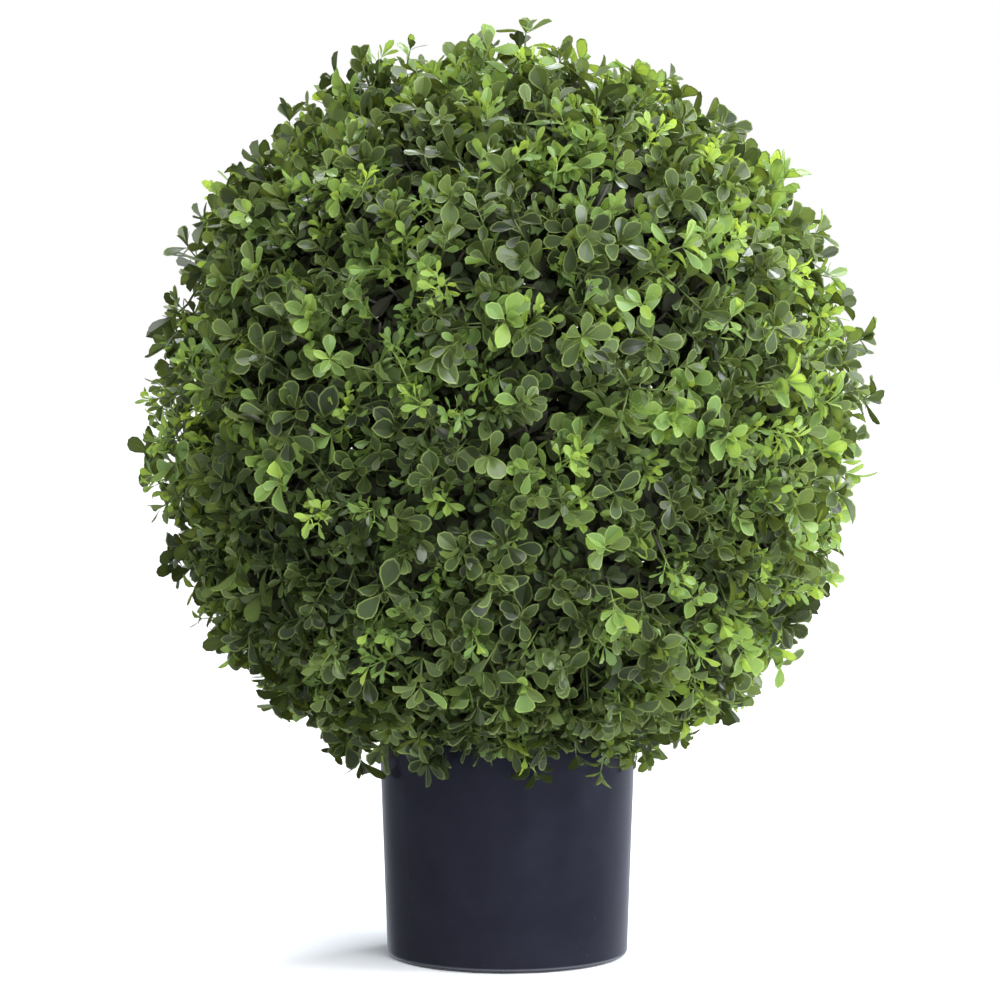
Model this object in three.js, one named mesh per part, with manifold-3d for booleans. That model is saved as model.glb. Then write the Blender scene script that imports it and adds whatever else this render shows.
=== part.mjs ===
// Artificial box topiary: a clipped ball of box foliage on a short stem, set in a tapered black plastic pot.
// Millimetres, +Z up. The origin is the centre of the pot's flat underside.
import * as THREE from "three";
import { mergeVertices } from "three/addons/utils/BufferGeometryUtils.js";
import Module from "manifold-3d";

const wasm = await Module();
wasm.setup();

// The crown's clipped outline is an upright ellipsoid, and loose sprigs stand a little out of it.
const CROWN_RADIUS = 231;
const CROWN_HALF_HEIGHT = 241;
const CROWN_CENTRE_Z = 357;
const OVERALL_HEIGHT = 610;
const SPRIG_REACH = 1.03; // share of the outline that a leaf may reach
const LOOSE_SPRIG_REACH = 1.085; // and a leaf of a loose sprig

// The pot is a plain tapered tub, filled with mortar that holds the stem.
const POT_HEIGHT = 160;
const POT_BASE_RADIUS = 79;
const POT_TAPER = THREE.MathUtils.degToRad(2);
const POT_WALL = 2.2;
const POT_FLOOR = 3;
const POT_EDGE_RADIUS = 3;
const POT_SIDES = 72;
const FILLING_DEPTH = 118;
const FILLING_DOME = 6;
const FILLING_SIDES = 36;

const STEM_FOOT_Z = 14;
const STEM_TOP_Z = 262;
const STEM_FOOT_RADIUS = 11;
const STEM_TOP_RADIUS = 8.5;
const STEM_SIDES = 16;

const CLEARANCE = 0.3; // between pieces that touch

// The foliage: a core of packed leaves, twigs that stand out of it, and leaves on the twigs.
const CORE_SHARE = 0.875; // of the crown's outline
const CORE_SHARE_BELOW = 0.95; // round the pot, where the foliage sags over its rim
const CORE_DETAIL = 4;
const CORE_ROUGHNESS = 0.02; // each corner of the core lies this share in or out
const TWIG_COUNT = 101;
const TWIG_ROOT_SHARE = 0.77;
const TWIG_TIP_SHARE = [0.89, 0.93];
const LOOSE_TWIG_EXTRA = 0.05;
const LOOSE_TWIGS = 0.14; // share of the twigs that outgrow the clipped outline
const TWIG_RADIUS = [2.4, 1.6]; // at its root and its tip
const TWIG_LEAN = THREE.MathUtils.degToRad(24); // most that a twig leans from straight out
const SIDE_TWIG_FROM = 0.6; // along its twig
const SIDE_TWIG_LENGTH = 32;
const SIDE_TWIG_ANGLE = THREE.MathUtils.degToRad(62);
const SIDE_TWIG_RADIUS = [0.4, 1.4]; // its root ends inside its twig
const LEAF_LENGTH = [35, 45];
const LEAF_WIDTH = 0.6; // of its length
const LEAF_WIDEST = 0.66; // along its length
const LEAF_DROOP = 0.12; // how far its tip bends down, of its length
const LEAF_THICKNESS = 1.8;
const LEAF_ROOT_DEPTH = 4; // behind its twig's end
const LEAF_SPREAD = [THREE.MathUtils.degToRad(35), THREE.MathUtils.degToRad(75)]; // from its twig's line
const SPREAD_STEP = THREE.MathUtils.degToRad(10); // how far a leaf is turned at a time to find room
const SPREAD_TRIES = 3;
const TIP_LEAVES = 3;
const SIDE_LEAVES = 2;
const HANGING_TWIGS = 13; // round the pot's rim
const HANGING_ROOT = [98, 178]; // distance from the middle, and height
const HANGING_TIP = [103, 151];
const KEPT_FROM_POT = 5; // how far leaves and twigs stay off the pot
const SMALLEST_EDGE = 0.03; // shorter ones are smoothed away
const SHAPE_SEED = 5;
const SITE_SEED = 39;

const GOLDEN_ANGLE = Math.PI * (3 - Math.sqrt(5));
const FULL_TURN = 2 * Math.PI;

// A seeded draw between 0 and 1, the same on every machine.
function seededDraws(seed) {
  const factor = 48271;
  const modulus = 2147483647;
  let state = seed;
  for (let i = 0; i < 8; i += 1) state = (state * factor) % modulus;
  return () => {
    state = (state * factor) % modulus;
    return state / modulus;
  };
}

const between = ([low, high], share) => low + (high - low) * share;

const potOuterRadius = (z) => POT_BASE_RADIUS + z * Math.tan(POT_TAPER);

// Points and directions of the crown

// The point that lies the given share of the way from the crown's centre to its outline.
function crownPoint(direction, share) {
  return new THREE.Vector3(
    direction.x * CROWN_RADIUS * share,
    direction.y * CROWN_RADIUS * share,
    CROWN_CENTRE_Z + direction.z * CROWN_HALF_HEIGHT * share,
  );
}

function shareOfOutline(point) {
  const across = Math.hypot(point.x, point.y) / CROWN_RADIUS;
  return Math.hypot(across, (point.z - CROWN_CENTRE_Z) / CROWN_HALF_HEIGHT);
}

// How far out the packed leaves come at a height in the crown, which runs from -1 at its foot to 1 at its top.
function coreShare(height) {
  return THREE.MathUtils.lerp(CORE_SHARE, CORE_SHARE_BELOW, THREE.MathUtils.smoothstep(-height, 0.6, 0.95));
}

function inThePot(point) {
  const low = point.z < POT_HEIGHT + KEPT_FROM_POT;
  return low && Math.hypot(point.x, point.y) < potOuterRadius(POT_HEIGHT) + KEPT_FROM_POT;
}

// A direction square to the given one, turned about it by an angle.
function sideways(direction, turn) {
  const helper = Math.abs(direction.z) < 0.9 ? new THREE.Vector3(0, 0, 1) : new THREE.Vector3(1, 0, 0);
  return helper.cross(direction).normalize().applyAxisAngle(direction, turn);
}

function leaned(direction, side, angle) {
  return direction.clone().multiplyScalar(Math.cos(angle)).addScaledVector(side, Math.sin(angle));
}

// Where each twig stands: a golden-angle lattice over the crown, with a seeded lean, length and roll for each.
function twigSites(count) {
  const draw = seededDraws(SITE_SEED);
  return Array.from({ length: count }, (_, i) => {
    const height = 1 - (2 * i + 1) / count;
    const ring = Math.sqrt(1 - height * height);
    const turn = i * GOLDEN_ANGLE;
    const outward = new THREE.Vector3(ring * Math.cos(turn), ring * Math.sin(turn), height);
    const lean = draw() * TWIG_LEAN;
    const leanTurn = draw() * FULL_TURN;
    const reach = draw();
    const roll = draw() * FULL_TURN;
    const loose = draw() < LOOSE_TWIGS;
    const along = leaned(outward, sideways(outward, leanTurn), lean);
    return { outward, along, reach, roll, loose };
  });
}

// Solids

function solidFrom(vertices, faces) {
  const mesh = new wasm.Mesh({
    numProp: 3,
    vertProperties: new Float32Array(vertices.flatMap((v) => [v.x, v.y, v.z])),
    triVerts: new Uint32Array(faces.flat()),
  });
  return new wasm.Manifold(mesh);
}

function solidOfGeometry(geometry) {
  geometry.deleteAttribute("normal");
  geometry.deleteAttribute("uv");
  const merged = mergeVertices(geometry, 1e-3);
  return new wasm.Manifold(
    new wasm.Mesh({
      numProp: 3,
      vertProperties: merged.attributes.position.array,
      triVerts: new Uint32Array(merged.index.array),
    }),
  );
}

function geometryOfSolid(solid) {
  const mesh = solid.getMesh();
  const geometry = new THREE.BufferGeometry();
  geometry.setAttribute("position", new THREE.BufferAttribute(mesh.vertProperties, 3));
  geometry.setIndex(new THREE.BufferAttribute(mesh.triVerts, 1));
  geometry.computeVertexNormals();
  return geometry;
}

// The main body, without loose scraps and sealed hollows.
function largestBody(solid) {
  return solid.decompose().sort((a, b) => b.volume() - a.volume())[0];
}

// A round solid about the Z axis, from its outline of [radius, height] points that starts and ends on the axis.
function turned(outline, sides) {
  const points = outline.map(([radius, z]) => new THREE.Vector2(radius, z));
  return new THREE.LatheGeometry(points, sides).rotateX(Math.PI / 2);
}

// Points of a quarter round between two angles, for the outline of a turned solid.
function quarterRound(centreRadius, centreZ, radius, fromAngle, steps = 3) {
  return Array.from({ length: steps + 1 }, (_, i) => {
    const angle = fromAngle + (i / steps) * (Math.PI / 2);
    return [centreRadius + radius * Math.cos(angle), centreZ + radius * Math.sin(angle)];
  });
}

// The pot, its filling and the stem

function pot() {
  const rimRound = POT_WALL / 2;
  const rimMiddle = potOuterRadius(POT_HEIGHT) - rimRound;
  const innerFoot = potOuterRadius(POT_FLOOR) - POT_WALL;
  return turned(
    [
      [0, 0],
      ...quarterRound(POT_BASE_RADIUS - POT_EDGE_RADIUS, POT_EDGE_RADIUS, POT_EDGE_RADIUS, -Math.PI / 2),
      ...quarterRound(rimMiddle, POT_HEIGHT - rimRound, rimRound, 0, 2),
      ...quarterRound(rimMiddle, POT_HEIGHT - rimRound, rimRound, Math.PI / 2, 2).slice(1),
      [innerFoot, POT_FLOOR],
      [0, POT_FLOOR],
    ],
    POT_SIDES,
  );
}

function stemRadius(z) {
  return THREE.MathUtils.mapLinear(z, STEM_FOOT_Z, STEM_TOP_Z, STEM_FOOT_RADIUS, STEM_TOP_RADIUS);
}

function potFilling() {
  const foot = POT_FLOOR + CLEARANCE;
  const wallAt = (z) => potOuterRadius(z) - POT_WALL - 2 * CLEARANCE;
  const top = POT_FLOOR + FILLING_DEPTH;
  const socket = (z) => stemRadius(z) + CLEARANCE;
  return turned(
    [
      [0, foot],
      [wallAt(foot), foot],
      [wallAt(top), top],
      [(wallAt(top) + socket(top)) / 2, top + FILLING_DOME * 0.7],
      [socket(top), top + FILLING_DOME],
      [socket(STEM_FOOT_Z), STEM_FOOT_Z - CLEARANCE],
      [0, STEM_FOOT_Z - CLEARANCE],
    ],
    FILLING_SIDES,
  );
}

function stem(extra = 0) {
  return turned(
    [
      [0, STEM_FOOT_Z - extra],
      [STEM_FOOT_RADIUS + extra, STEM_FOOT_Z - extra],
      [STEM_TOP_RADIUS + extra, STEM_TOP_Z + extra],
      [0, STEM_TOP_Z + extra],
    ],
    STEM_SIDES,
  );
}

// The foliage

// A three-sided tapering twig between two points. Its sides face roll + 60, 180 and 300 degrees round it.
function twig(from, to, radii, roll) {
  const along = to.clone().sub(from).normalize();
  const corners = [from, to].flatMap((centre, end) =>
    [0, 1, 2].map((i) => centre.clone().addScaledVector(sideways(along, roll + (i * FULL_TURN) / 3), radii[end])),
  );
  const faces = [[0, 2, 1], [3, 4, 5]];
  for (let i = 0; i < 3; i += 1) {
    const next = (i + 1) % 3;
    faces.push([i, next, 3 + next], [i, 3 + next, 3 + i]);
  }
  return solidFrom(corners, faces);
}

// The direction that one of a twig's three sides faces.
function sideFacing(along, roll, i) {
  return sideways(along, roll + ((i + 0.5) * FULL_TURN) / 3);
}

// A domed leaf, widest near its round end, or null where it would leave its space.
function leaf(root, along, up, length, limit) {
  const across = along.clone().cross(up).normalize();
  const upper = across.clone().cross(along);
  const place = (lengthShare, widthShare, lift) =>
    root
      .clone()
      .addScaledVector(along, length * lengthShare)
      .addScaledVector(across, (length * LEAF_WIDTH * widthShare) / 2)
      .addScaledVector(upper, lift);
  const base = place(0, 0, 0);
  const rim = [place(LEAF_WIDEST, 1, 0), place(1, 0, -length * LEAF_DROOP), place(LEAF_WIDEST, -1, 0)];
  const back = place(LEAF_WIDEST, 0, LEAF_THICKNESS);
  const outside = (point) => shareOfOutline(point) > limit || point.z > OVERALL_HEIGHT || inThePot(point);
  const packed = (point) => coreShare((point.z - CROWN_CENTRE_Z) / CROWN_HALF_HEIGHT / shareOfOutline(point));
  const buried = (point) => shareOfOutline(point) < packed(point) + CORE_ROUGHNESS;
  if (rim.some((point) => outside(point) || buried(point))) return null;
  const faces = [[0, 3, 1], [1, 3, 2], [4, 1, 2], [4, 2, 3], [4, 3, 0], [4, 0, 1]];
  return solidFrom([base, ...rim, back], faces);
}

// A leaf from one side of a twig, turned up or down until it lies between the packed leaves and the outline.
function fittedLeaf(root, along, side, wantedSpread, length, limit) {
  for (let step = 0; step <= SPREAD_TRIES; step += 1) {
    for (const spread of [wantedSpread + step * SPREAD_STEP, wantedSpread - step * SPREAD_STEP]) {
      const up = leaned(along, side, spread - Math.PI / 2);
      const fitted = leaf(root, leaned(along, side, spread), up, length, limit);
      if (fitted) return fitted;
    }
  }
  return null;
}

// Leaves round the end of a twig, one from each of its sides.
function whorl(tip, along, count, roll, draw, limit) {
  const root = tip.clone().addScaledVector(along, -LEAF_ROOT_DEPTH);
  return Array.from({ length: count }, (_, i) => {
    const spread = between(LEAF_SPREAD, draw());
    return fittedLeaf(root, along, sideFacing(along, roll, i), spread, between(LEAF_LENGTH, draw()), limit);
  });
}

// A twig with its side twig and their leaves.
function spray(site, draw) {
  const limit = site.loose ? LOOSE_SPRIG_REACH : SPRIG_REACH;
  const tipShare = between(TWIG_TIP_SHARE, site.reach) + (site.loose ? LOOSE_TWIG_EXTRA : 0);
  const middle = crownPoint(site.outward, (TWIG_ROOT_SHARE + tipShare) / 2);
  const half = ((tipShare - TWIG_ROOT_SHARE) * CROWN_RADIUS) / 2;
  const root = middle.clone().addScaledVector(site.along, -half);
  const tip = middle.clone().addScaledVector(site.along, half);
  const fork = root.clone().lerp(tip, SIDE_TWIG_FROM);
  const sideAlong = leaned(site.along, sideFacing(site.along, site.roll, 0), SIDE_TWIG_ANGLE);
  const sideTip = fork.clone().addScaledVector(sideAlong, SIDE_TWIG_LENGTH);
  if ([tip, sideTip].some((p) => inThePot(p) || shareOfOutline(p) > limit)) return [];
  return [
    twig(root, tip, TWIG_RADIUS, site.roll),
    twig(fork, sideTip, SIDE_TWIG_RADIUS, site.roll),
    ...whorl(tip, site.along, TIP_LEAVES, site.roll, draw, limit),
    ...whorl(sideTip, sideAlong, SIDE_LEAVES, site.roll, draw, limit),
  ].filter(Boolean);
}

// A twig that hangs beside the pot's rim, with its leaves.
function hangingSpray(i, draw) {
  const turn = ((i + 0.4 * draw()) * FULL_TURN) / HANGING_TWIGS;
  const [root, tip] = [HANGING_ROOT, HANGING_TIP].map(
    ([radius, z]) => new THREE.Vector3(radius * Math.cos(turn), radius * Math.sin(turn), z),
  );
  const along = tip.clone().sub(root).normalize();
  const roll = draw() * FULL_TURN;
  const leaves = whorl(tip, along, TIP_LEAVES, roll, draw, LOOSE_SPRIG_REACH);
  return [twig(root, tip, TWIG_RADIUS, roll), ...leaves].filter(Boolean);
}

// The packed inner leaves: a rough ellipsoid, cut clear of the stem and the pot.
function core(draw) {
  const geometry = new THREE.IcosahedronGeometry(1, CORE_DETAIL);
  geometry.deleteAttribute("normal");
  geometry.deleteAttribute("uv");
  const merged = mergeVertices(geometry, 1e-3);
  const places = merged.attributes.position;
  for (let i = 0; i < places.count; i += 1) {
    const direction = new THREE.Vector3().fromBufferAttribute(places, i);
    const point = crownPoint(direction, coreShare(direction.z) + CORE_ROUGHNESS * (2 * draw() - 1));
    places.setXYZ(i, point.x, point.y, point.z);
  }
  const rimClearance = new THREE.CylinderGeometry(
    potOuterRadius(POT_HEIGHT) + KEPT_FROM_POT,
    potOuterRadius(POT_HEIGHT) + KEPT_FROM_POT,
    POT_HEIGHT + 2 * CLEARANCE,
    POT_SIDES / 3,
  );
  rimClearance.rotateX(Math.PI / 2).translate(0, 0, POT_HEIGHT / 2);
  return solidOfGeometry(merged).subtract(solidOfGeometry(rimClearance)).subtract(solidOfGeometry(stem(CLEARANCE)));
}

function foliageBall() {
  const draw = seededDraws(SHAPE_SEED);
  const sprays = twigSites(TWIG_COUNT).flatMap((site) => spray(site, draw));
  for (let i = 0; i < HANGING_TWIGS; i += 1) sprays.push(...hangingSpray(i, draw));
  const fused = largestBody(wasm.Manifold.union([core(draw), ...sprays]).simplify(SMALLEST_EDGE));
  return geometryOfSolid(largestBody(solidOfGeometry(geometryOfSolid(fused))));
}

// The assembly

const blackPlastic = new THREE.MeshStandardMaterial({ color: 0x23252e, roughness: 0.42, metalness: 0 });
const mortar = new THREE.MeshStandardMaterial({ color: 0x77736c, roughness: 0.95, metalness: 0 });
const stemWood = new THREE.MeshStandardMaterial({ color: 0x5b4733, roughness: 0.85, metalness: 0 });
const boxLeaf = new THREE.MeshStandardMaterial({ color: 0x4b6f2c, roughness: 0.5, metalness: 0 });

function piece(name, geometry, material) {
  const mesh = new THREE.Mesh(geometry, material);
  mesh.name = name;
  return mesh;
}

const topiary = new THREE.Group();
topiary.name = "box_topiary_ball";
topiary.add(
  piece("pot", pot(), blackPlastic),
  piece("pot_filling", potFilling(), mortar),
  piece("stem", stem(), stemWood),
  piece("foliage_ball", foliageBall(), boxLeaf),
);

export default topiary;
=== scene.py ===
"""Artificial box topiary ball in a dark pot: pot, filling, stem and foliage, with a plain studio round them."""

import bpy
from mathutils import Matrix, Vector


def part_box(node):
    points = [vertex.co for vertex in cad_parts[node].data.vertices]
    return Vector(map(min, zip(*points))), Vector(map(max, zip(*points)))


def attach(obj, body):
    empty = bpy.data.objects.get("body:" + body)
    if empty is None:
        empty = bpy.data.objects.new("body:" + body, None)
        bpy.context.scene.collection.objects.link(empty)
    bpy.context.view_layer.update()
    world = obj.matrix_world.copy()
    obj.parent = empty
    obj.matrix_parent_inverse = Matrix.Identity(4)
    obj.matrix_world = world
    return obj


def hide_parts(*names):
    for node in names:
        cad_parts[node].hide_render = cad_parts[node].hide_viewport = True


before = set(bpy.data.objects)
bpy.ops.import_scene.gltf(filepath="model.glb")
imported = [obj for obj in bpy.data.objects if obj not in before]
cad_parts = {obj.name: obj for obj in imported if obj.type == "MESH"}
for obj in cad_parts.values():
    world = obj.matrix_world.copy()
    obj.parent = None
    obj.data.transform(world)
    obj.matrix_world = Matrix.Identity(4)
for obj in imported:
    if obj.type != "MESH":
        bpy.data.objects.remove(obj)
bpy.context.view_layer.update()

import math

import bmesh
import bpy
import numpy as np
from bpy.props import FloatProperty, FloatVectorProperty, IntProperty, PointerProperty, StringProperty
from mathutils import Vector

bl_info = {
    "name": "Box Topiary Ball",
    "version": (1, 0, 0),
    "blender": (4, 5, 0),
    "location": "View3D > Sidebar > Topiary",
    "description": "Builds a clipped ball of moulded box foliage in a plain plastic pot",
    "category": "Add Mesh",
}

MM = 0.001
FULL_TURN = 2 * math.pi
GOLDEN_ANGLE = math.pi * (3 - math.sqrt(5))

POT_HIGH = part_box("pot")[1]
FILLING_LOW, FILLING_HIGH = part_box("pot_filling")
STEM_LOW, STEM_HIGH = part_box("stem")

# The foliage rule's values, as the part's source has them. Its lengths are in millimetres.
CROWN_RADIUS = 231
CROWN_HALF_HEIGHT = 241
CROWN_CENTRE_Z = 357
OVERALL_HEIGHT = 610
SPRIG_REACH = 1.03
LOOSE_SPRIG_REACH = 1.085
POT_HEIGHT = POT_HIGH.z / MM
POT_RIM_RADIUS = POT_HIGH.x / MM
CORE_SHARE = 0.875
CORE_SHARE_BELOW = 0.95
CORE_ROUGHNESS = 0.02
TWIG_COUNT = 101
TWIG_ROOT_SHARE = 0.77
TWIG_TIP_SHARE = (0.89, 0.93)
LOOSE_TWIG_EXTRA = 0.05
LOOSE_TWIGS = 0.14
TWIG_LEAN = math.radians(24)
SIDE_TWIG_FROM = 0.6
SIDE_TWIG_LENGTH = 32
SIDE_TWIG_ANGLE = math.radians(62)
LEAF_LENGTH = (35, 45)
LEAF_WIDTH = 0.6
LEAF_WIDEST = 0.66
LEAF_DROOP = 0.12
LEAF_ROOT_DEPTH = 4
LEAF_SPREAD = (math.radians(35), math.radians(75))
SPREAD_STEP = math.radians(10)
SPREAD_TRIES = 3
TIP_LEAVES = 3
SIDE_LEAVES = 2
HANGING_TWIGS = 13
HANGING_ROOT = (98, 178)
HANGING_TIP = (103, 151)
KEPT_FROM_POT = 5
SHAPE_SEED = 5
SITE_SEED = 39

# The finer growth. Its fullest sprigs pass the limit by the shoulder's extra, above and below the ball's middle. The
# ball has a flat foot: below the foot's top, a leaf keeps within a radius that grows with its height and its limit.
GROWTH_SEED = 77
SHOULDER_EXTRA = (0.032, 0.075)
FOOT_Z = 145
FOOT_TOP = 176
FOOT_RADIUS = 107
FOOT_FLARE = 2.2
FOOT_LOOSE = 350
LEAF_FROM_POT = 3
# Boughs start inside the stem's head and bend at a knee, and a sprig is a part of its solid leaf's length.
STEM_HEAD_DEPTH = 6
SOLID_LEAF_SPRIG = 0.6
KNEE_RISE = 10
KNEE_LOW_SHARE = 0.3
FORKS_FROM = 0.8

# Its fine twigs: the share of the outline that they reach, how they turn off their boughs, and their sprigs' limit
FINE_REACH = 0.875
FINE_REACH_RANGE = 0.085
FINE_LOOSE_EXTRA = 0.045
FINE_LEAST_REACH = 0.78
FINE_STEP_BACK = 0.03
FINE_TIP_FROM_POT = 9
FINE_KNEE_FROM_POT = 2
FINE_KNEE_DEPTH = (0.09, 0.13)
FINE_LEAN = (0.2, 1.1)
FINE_LENGTH = (20, 32)
FINE_LIMIT = (-0.02, 0.03)
FINE_LIMIT_BIAS = 1.5
FINE_LOOSE_LIMIT = LOOSE_SPRIG_REACH - 0.015
# a loose sprig's tint is drawn paler: partly younger growth, partly painted light for leaves lit from behind
LOOSE_YOUNGER_AND_BACKLIT = 0.22

# Rings of sprigs that hang round the pot's rim, as (how far out their tips lie, how high, how many there are). Each
# starts above its tip, and a little further in.
RIM_SPRIGS = (((94, 110), (142, 165), 46), ((118, 150), (160, 182), 50), ((142, 164), (168, 186), 44))
RIM_SPRIG_LIMIT = (SPRIG_REACH, LOOSE_SPRIG_REACH + 0.02)
RIM_SPRIG_RISE = 20
RIM_SPRIG_IN = 6

# The shaded leaves of a fine twig and of a rim sprig, as (kind, the part of the bough where they begin, how many,
# the share of the outline that they reach).
FINE_SHADED = (("inner", 0.4, 7, 0.87), ("under", 0.75, 4, 0.94))
RIM_SHADED = (("inner", 0.6, 5, 0.9), ("under", 0.8, 4, 0.96))

# The radii of the boughs and stalks at their root, middle and tip.
MAIN_BOUGH = (3.4, 2.8, 2.2)
FINE_BOUGH = (1.5, 1.2, 1.0)
HANGING_BOUGH = (2.0, 1.6, 1.2)
RIM_BOUGH = (1.5, 1.3, 1.0)
MAIN_TWIG = (1.1, 0.9, 0.6)
SIDE_TWIG = (0.9, 0.8, 0.5)
HANGING_TWIG = (1.2, 1.0, 0.7)
SIDE_STALK = (0.5, 0.4, 0.3)
BOUGH_MIDDLE = 0.6

# The leaves of the finer growth: how unevenly they are dealt, how they keep inside, and how they are bent. Cup is a
# share of the width and droop of the length.
LEAF_SHORTER = 0.22
LEAF_TRIES = 4
LEAF_FLATTER_STEP = 0.26
BLADE_ROLL = 0.45
STRAY_TINTS = 0.2
BLADE_WIDTH = (0.44, 0.64)
SMALL_BLADE_WIDTH = (0.38, 0.5)
CUP = (-0.3, 0.85)
DROOP = (-0.12, 0.6)
DROOP_BIAS = 1.2
WHORL_UNEVEN = 0.27
SPREAD_UNEVEN = 0.46
SHORTEST_STALK = 6
STALK_STEP = 3
TIP_ROOM = 9
UNDER_LENGTH = (13, 19)
INNER_LENGTH = (14, 21)
SHADED_SPREAD = 0.6
SHADED_SPREAD_RANGE = 0.9
SHADED_FROM_POT = 4
SHADED_WIDTH = 0.58
SHADED_CUP = 0.25
SHADED_DROOP = 0.12

# Tints are dealt out by sprig, from the shaded inside of the ball to the palest new growth.
SHADE, DARK, DEEP, MIDDLE, FRESH, LIME = range(6)
TINT_NAMES = ("shade", "dark", "deep", "middle", "fresh", "lime")
# For each tint, the share of the light that comes through the leaf, and the strength of its sheen
THROUGH_SHARES = (0.03, 0.05, 0.08, 0.16, 0.31, 0.42)
SHEENS = (0.1, 0.5, 0.52, 0.52, 0.5, 0.42)
MARGIN_SHEEN = 0.3
# What a tint is mixed with for its margin and for the light that comes through it, and what the tints of the under
# leaves and of the new stalks are mixed with, as (share, colour). The under leaves' mix darkens and greys them as
# painted shade.
MARGIN_MIX = (0.36, "#b4c868")
THROUGH_MIX = (0.6, "#c9da3a")
UNDER_PAINTED_SHADE_MIX = (0.45, "#30302a")
NEW_STALK_MIX = (0.3, "#66783c")

# The kinds of sprig. Each has the piece and radii of its stalk, and its whorls as (kind of leaf, place along the
# stalk, leaves, spread, turn from the first, size). A whorl without a number of leaves takes the one drawn.
SPRIGS = {
    "broad": (
        "stalk", (0.9, 0.8, 0.5),
        (
            ("broad", 1, None, 0.78, 0, 1),
            ("middling", 1, 2, 0.3, 0.6, 0.85),
            ("broad", 0.66, 2, 0.95, 0.4, 0.95),
            ("broad", 0.3, 2, 1.0, 1.9, 0.85),
        ),
    ),
    "paired": (
        "stalk", (0.9, 0.75, 0.4),
        (
            ("middling", 0.25, 2, 0.9, 0, 1),
            ("middling", 0.5, 2, 0.9, math.pi / 2, 1),
            ("middling", 0.76, 2, 0.9, math.pi, 1),
            ("middling", 1, 3, 0.5, 0, 0.85),
        ),
    ),
    "fan": ("new_stalk", (0.8, 0.65, 0.4), (("small", 1, 3, 0.5, 0, 1.1), ("small", 0.78, 2, 0.85, 1.2, 1))),
}
# The leaves of a broad whorl at its twig's tip: the least number and how many more
BROAD_TIP_LEAVES = (3, 2.4)
# The side stalks of a fan: the least number and how many more, where the first forks and how far on the next does,
# and their small whorls as (place along the stalk, leaves, spread, size).
SIDE_STALKS = (3, 2)
SIDE_FORK = (0.3, 0.12)
SIDE_STALK_LEAN = 0.7
SIDE_STALK_LENGTH = (7, 11)
SIDE_STALK_ROOM = 0.02
SIDE_WHORLS = ((1, 3, 0.55, 1), (0.45, 2, 0.85, 0.85))
# The draw below which a sprig is of each kind, and the one below which each kind takes each tint.
SPRIG_SHARES = (("broad", 0.34), ("paired", 0.76), ("fan", math.inf))
TINT_SHARES = {
    "broad": ((DARK, 0.2), (DEEP, 0.58), (MIDDLE, 0.86), (FRESH, math.inf)),
    "paired": ((DARK, 0.18), (DEEP, 0.5), (MIDDLE, 0.82), (FRESH, math.inf)),
    "fan": ((DEEP, 0.16), (MIDDLE, 0.36), (FRESH, 0.7), (LIME, math.inf)),
}
# Round the foot there is less new growth. The tints also hold painted light and shade: sprigs are paler on the right
# and towards the top, and darker towards the foot.
LOW_HEIGHT = -0.72
LOW_SHARE = 0.85
PAINTED_LIGHT_RIGHT = 0.14
PAINTED_LIGHT_UP = 0.12
PAINTED_SHADE_DOWN = 0.3

# The pot, the filling and the stem
POT_FLOOR = 3 * MM
FOOT_RING = 9 * MM
FOOT_HOLLOW = 0.8 * MM
RIM_ROUNDING = 0.9 * MM
FILLING_TAPER = 0.952
FILLING_DOME = 6 * MM
DOME_STEPS = ((14, 2.2), (18, 1.8), (20, 1.4), (12, 0.6))
SOCKET_INSET = 4.8 * MM
SOCKET_GAP = 0.4 * MM
FILLING_ROUNDING = 1.5 * MM
STEM_TAPER = 8.5 / 11
STEM_RINGS = 60
FURROW_BASE = 0.35
FURROW_DEPTH = 0.18
KNOT_HEIGHT = 0.3
KNOT_RADIUS = 9
KNOT_EVERY = 60
TOUCH = 1e-5

# A wide soft light from above and in front
OVERHEAD_FROM = (0.2, -0.5, 1.6)
OVERHEAD_WIDE = math.radians(60)
# Soft panels in front and at the right, as (name, place, target, width and height, share of the front power). The
# fill evens out the shade under the ball.
PANELS = (
    ("front", (0.6, -1.5, 1.5), (0, 0, 0.32), (0.8, 0.8), 1),
    ("right_side", (1.9, -0.35, 0.95), (0, 0, 0.32), (0.9, 1.2), 2.05),
    ("fill", (1.0, -1.7, 0.45), (0, 0, 0.3), (1.2, 0.8), 1.15),
)
# Large lamps behind, whose cones take in the ball and little of the floor, as (name, place, radius, cone in degrees,
# share of the power behind).
LAMPS = (
    ("over_and_behind", (0.15, 0.75, 1.7), 0.6, 26, 1.15),
    ("behind_right", (1.25, 1.15, 0.65), 0.6, 28, 1.5),
    ("behind_left", (-1.2, 1.2, 0.65), 0.5, 24, 1),
)
UNMIRRORED = ("fill", "behind_right", "behind_left")
COOL_PANEL = (0.91, 0.95, 1)
COOL_LAMP = (0.9, 0.95, 1)
COOL_ROOM = (0.84, 0.89, 1, 1)
WHITE = (1, 1, 1, 1)
BALL_MIDDLE = (0, 0, 0.37)
SENSOR_WIDTH = 36
CAMERA_X = -0.0048
CAMERA_PITCH = math.radians(3.13)


# Settings


class PotSettings(bpy.types.PropertyGroup):
    wall: FloatProperty(name="Wall", description="Thickness of the pot's wall", default=2.2 * MM, unit="LENGTH")
    foot_radius: FloatProperty(
        name="Foot radius", description="Radius of the pot at its underside", default=79 * MM, unit="LENGTH"
    )
    edge_radius: FloatProperty(
        name="Edge radius", description="Rounding of the pot's bottom edge", default=3 * MM, unit="LENGTH"
    )
    colour: StringProperty(name="Colour", description="The pot's own colour, as an sRGB hex value", default="#1c1c25")
    roughness: FloatProperty(
        name="Roughness", description="Roughness of the pot's satin surface", default=0.22, subtype="FACTOR"
    )


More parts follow.
